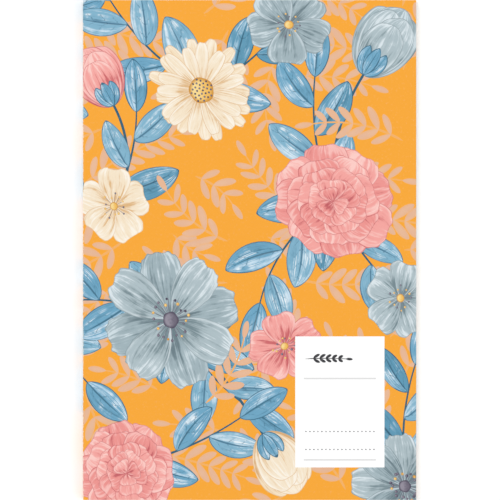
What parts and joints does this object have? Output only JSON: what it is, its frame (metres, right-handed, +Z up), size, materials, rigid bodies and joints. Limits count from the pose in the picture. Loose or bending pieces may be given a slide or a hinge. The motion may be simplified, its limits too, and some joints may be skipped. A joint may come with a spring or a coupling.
{
  "type": "address book",
  "caption": "Square-backed paperback address book with a floral orange cover, a blank white label and A to Z printed index leaves; covers and leaves turn on the joint beside the spine.",
  "frame": {"origin": "middle of the back cover's outer face, on the surface the closed book lies on", "axes": "+Z up out of the front cover, +Y towards the head of the book, spine along the -X side"},
  "size_m": [0.1524, 0.2286, 0.007],
  "materials": {
    "cover_board": "printed, satin laminate",
    "text_paper": "uncoated white text paper",
    "hot_melt_glue": "translucent hot-melt adhesive"
  },
  "bodies": {
    "binding": {"spine_wrap": "cover_board", "spine_glue": "hot_melt_glue", "front_side_glue": "hot_melt_glue", "back_side_glue": "hot_melt_glue", "bound_margins": "text_paper"},
    "front_cover": {"front_cover": "cover_board"},
    "back_cover": {"back_cover": "cover_board"},
    "owner_leaf": {"owner_leaf": "text_paper"},
    "leaves_a": {"leaves_a": "text_paper"},
    "leaves_b": {"leaves_b": "text_paper"},
    "leaves_c": {"leaves_c": "text_paper"},
    "leaves_d": {"leaves_d": "text_paper"},
    "leaves_e": {"leaves_e": "text_paper"},
    "leaves_f": {"leaves_f": "text_paper"},
    "leaves_g": {"leaves_g": "text_paper"},
    "leaves_h": {"leaves_h": "text_paper"},
    "leaves_i": {"leaves_i": "text_paper"},
    "leaves_j": {"leaves_j": "text_paper"},
    "leaves_k": {"leaves_k": "text_paper"},
    "leaves_l": {"leaves_l": "text_paper"},
    "leaves_m": {"leaves_m": "text_paper"},
    "leaves_n": {"leaves_n": "text_paper"},
    "leaves_o": {"leaves_o": "text_paper"},
    "leaves_p": {"leaves_p": "text_paper"},
    "leaves_q": {"leaves_q": "text_paper"},
    "leaves_r": {"leaves_r": "text_paper"},
    "leaves_s": {"leaves_s": "text_paper"},
    "leaves_t": {"leaves_t": "text_paper"},
    "leaves_u": {"leaves_u": "text_paper"},
    "leaves_v": {"leaves_v": "text_paper"},
    "leaves_w": {"leaves_w": "text_paper"},
    "leaves_x": {"leaves_x": "text_paper"},
    "leaves_y": {"leaves_y": "text_paper"},
    "leaves_z": {"leaves_z": "text_paper"},
    "notes_leaf": {"notes_leaf": "text_paper"}
  },
  "joints": [
    {"name": "front_cover_hinge", "type": "hinge", "parent": "binding", "child": "front_cover", "pos_m": [-0.0697, 0, 0.00703], "axis": [0, -1, 0], "range_deg": [0, 180]},
    {"name": "back_cover_hinge", "type": "hinge", "parent": "binding", "child": "back_cover", "pos_m": [-0.0697, 0, -0.00005], "axis": [0, 1, 0], "range_deg": [0, 180]},
    {"name": "turn_owner_leaf", "type": "hinge", "parent": "binding", "child": "owner_leaf", "pos_m": [-0.0697, 0, 0.00703], "axis": [0, -1, 0], "range_deg": [0, 178.56]},
    {"name": "turn_leaves_a", "type": "hinge", "parent": "binding", "child": "leaves_a", "pos_m": [-0.0697, 0, 0.00703], "axis": [0, -1, 0], "range_deg": [0, 177.91]},
    {"name": "turn_leaves_b", "type": "hinge", "parent": "binding", "child": "leaves_b", "pos_m": [-0.0697, 0, 0.00703], "axis": [0, -1, 0], "range_deg": [0, 177.26]},
    {"name": "turn_leaves_c", "type": "hinge", "parent": "binding", "child": "leaves_c", "pos_m": [-0.0697, 0, 0.00703], "axis": [0, -1, 0], "range_deg": [0, 176.61]},
    {"name": "turn_leaves_d", "type": "hinge", "parent": "binding", "child": "leaves_d", "pos_m": [-0.0697, 0, 0.00703], "axis": [0, -1, 0], "range_deg": [0, 175.96]},
    {"name": "turn_leaves_e", "type": "hinge", "parent": "binding", "child": "leaves_e", "pos_m": [-0.0697, 0, 0.00703], "axis": [0, -1, 0], "range_deg": [0, 175.31]},
    {"name": "turn_leaves_f", "type": "hinge", "parent": "binding", "child": "leaves_f", "pos_m": [-0.0697, 0, 0.00703], "axis": [0, -1, 0], "range_deg": [0, 174.66]},
    {"name": "turn_leaves_g", "type": "hinge", "parent": "binding", "child": "leaves_g", "pos_m": [-0.0697, 0, 0.00703], "axis": [0, -1, 0], "range_deg": [0, 174.01]},
    {"name": "turn_leaves_h", "type": "hinge", "parent": "binding", "child": "leaves_h", "pos_m": [-0.0697, 0, 0.00703], "axis": [0, -1, 0], "range_deg": [0, 173.36]},
    {"name": "turn_leaves_i", "type": "hinge", "parent": "binding", "child": "leaves_i", "pos_m": [-0.0697, 0, 0.00703], "axis": [0, -1, 0], "range_deg": [0, 172.7]},
    {"name": "turn_leaves_j", "type": "hinge", "parent": "binding", "child": "leaves_j", "pos_m": [-0.0697, 0, 0.00703], "axis": [0, -1, 0], "range_deg": [0, 172.05]},
    {"name": "turn_leaves_k", "type": "hinge", "parent": "binding", "child": "leaves_k", "pos_m": [-0.0697, 0, 0.00703], "axis": [0, -1, 0], "range_deg": [0, 171.4]},
    {"name": "turn_leaves_l", "type": "hinge", "parent": "binding", "child": "leaves_l", "pos_m": [-0.0697, 0, 0.00703], "axis": [0, -1, 0], "range_deg": [0, 170.75]},
    {"name": "turn_leaves_m", "type": "hinge", "parent": "binding", "child": "leaves_m", "pos_m": [-0.0697, 0, 0.00703], "axis": [0, -1, 0], "range_deg": [0, 170.1]},
    {"name": "turn_leaves_n", "type": "hinge", "parent": "binding", "child": "leaves_n", "pos_m": [-0.0697, 0, 0.00703], "axis": [0, -1, 0], "range_deg": [0, 9.9]},
    {"name": "turn_leaves_o", "type": "hinge", "parent": "binding", "child": "leaves_o", "pos_m": [-0.0697, 0, 0.00703], "axis": [0, -1, 0], "range_deg": [0, 9.25]},
    {"name": "turn_leaves_p", "type": "hinge", "parent": "binding", "child": "leaves_p", "pos_m": [-0.0697, 0, 0.00703], "axis": [0, -1, 0], "range_deg": [0, 8.6]},
    {"name": "turn_leaves_q", "type": "hinge", "parent": "binding", "child": "leaves_q", "pos_m": [-0.0697, 0, 0.00703], "axis": [0, -1, 0], "range_deg": [0, 7.95]},
    {"name": "turn_leaves_r", "type": "hinge", "parent": "binding", "child": "leaves_r", "pos_m": [-0.0697, 0, 0.00703], "axis": [0, -1, 0], "range_deg": [0, 7.3]},
    {"name": "turn_leaves_s", "type": "hinge", "parent": "binding", "child": "leaves_s", "pos_m": [-0.0697, 0, 0.00703], "axis": [0, -1, 0], "range_deg": [0, 6.65]},
    {"name": "turn_leaves_t", "type": "hinge", "parent": "binding", "child": "leaves_t", "pos_m": [-0.0697, 0, 0.00703], "axis": [0, -1, 0], "range_deg": [0, 6]},
    {"name": "turn_leaves_u", "type": "hinge", "parent": "binding", "child": "leaves_u", "pos_m": [-0.0697, 0, 0.00703], "axis": [0, -1, 0], "range_deg": [0, 5.35]},
    {"name": "turn_leaves_v", "type": "hinge", "parent": "binding", "child": "leaves_v", "pos_m": [-0.0697, 0, 0.00703], "axis": [0, -1, 0], "range_deg": [0, 4.7]},
    {"name": "turn_leaves_w", "type": "hinge", "parent": "binding", "child": "leaves_w", "pos_m": [-0.0697, 0, 0.00703], "axis": [0, -1, 0], "range_deg": [0, 4.04]},
    {"name": "turn_leaves_x", "type": "hinge", "parent": "binding", "child": "leaves_x", "pos_m": [-0.0697, 0, 0.00703], "axis": [0, -1, 0], "range_deg": [0, 3.39]},
    {"name": "turn_leaves_y", "type": "hinge", "parent": "binding", "child": "leaves_y", "pos_m": [-0.0697, 0, 0.00703], "axis": [0, -1, 0], "range_deg": [0, 2.74]},
    {"name": "turn_leaves_z", "type": "hinge", "parent": "binding", "child": "leaves_z", "pos_m": [-0.0697, 0, 0.00703], "axis": [0, -1, 0], "range_deg": [0, 2.09]},
    {"name": "turn_notes_leaf", "type": "hinge", "parent": "binding", "child": "notes_leaf", "pos_m": [-0.0697, 0, 0.00703], "axis": [0, -1, 0], "range_deg": [0, 1.44]}
  ],
  "couplings": [
    {"joint": "turn_owner_leaf", "follows": "front_cover_hinge", "ratio": 0.992},
    {"joint": "turn_leaves_a", "follows": "front_cover_hinge", "ratio": 0.98838},
    {"joint": "turn_leaves_b", "follows": "front_cover_hinge", "ratio": 0.98477},
    {"joint": "turn_leaves_c", "follows": "front_cover_hinge", "ratio": 0.98115},
    {"joint": "turn_leaves_d", "follows": "front_cover_hinge", "ratio": 0.97754},
    {"joint": "turn_leaves_e", "follows": "front_cover_hinge", "ratio": 0.97392},
    {"joint": "turn_leaves_f", "follows": "front_cover_hinge", "ratio": 0.97031},
    {"joint": "turn_leaves_g", "follows": "front_cover_hinge", "ratio": 0.96669},
    {"joint": "turn_leaves_h", "follows": "front_cover_hinge", "ratio": 0.96308},
    {"joint": "turn_leaves_i", "follows": "front_cover_hinge", "ratio": 0.95946},
    {"joint": "turn_leaves_j", "follows": "front_cover_hinge", "ratio": 0.95585},
    {"joint": "turn_leaves_k", "follows": "front_cover_hinge", "ratio": 0.95223},
    {"joint": "turn_leaves_l", "follows": "front_cover_hinge", "ratio": 0.94862},
    {"joint": "turn_leaves_m", "follows": "front_cover_hinge", "ratio": 0.945},
    {"joint": "turn_leaves_n", "follows": "front_cover_hinge", "ratio": 0.055},
    {"joint": "turn_leaves_o", "follows": "front_cover_hinge", "ratio": 0.05138},
    {"joint": "turn_leaves_p", "follows": "front_cover_hinge", "ratio": 0.04777},
    {"joint": "turn_leaves_q", "follows": "front_cover_hinge", "ratio": 0.04415},
    {"joint": "turn_leaves_r", "follows": "front_cover_hinge", "ratio": 0.04054},
    {"joint": "turn_leaves_s", "follows": "front_cover_hinge", "ratio": 0.03692},
    {"joint": "turn_leaves_t", "follows": "front_cover_hinge", "ratio": 0.03331},
    {"joint": "turn_leaves_u", "follows": "front_cover_hinge", "ratio": 0.02969},
    {"joint": "turn_leaves_v", "follows": "front_cover_hinge", "ratio": 0.02608},
    {"joint": "turn_leaves_w", "follows": "front_cover_hinge", "ratio": 0.02246},
    {"joint": "turn_leaves_x", "follows": "front_cover_hinge", "ratio": 0.01885},
    {"joint": "turn_leaves_y", "follows": "front_cover_hinge", "ratio": 0.01523},
    {"joint": "turn_leaves_z", "follows": "front_cover_hinge", "ratio": 0.01162},
    {"joint": "turn_notes_leaf", "follows": "front_cover_hinge", "ratio": 0.008}
  ]
}
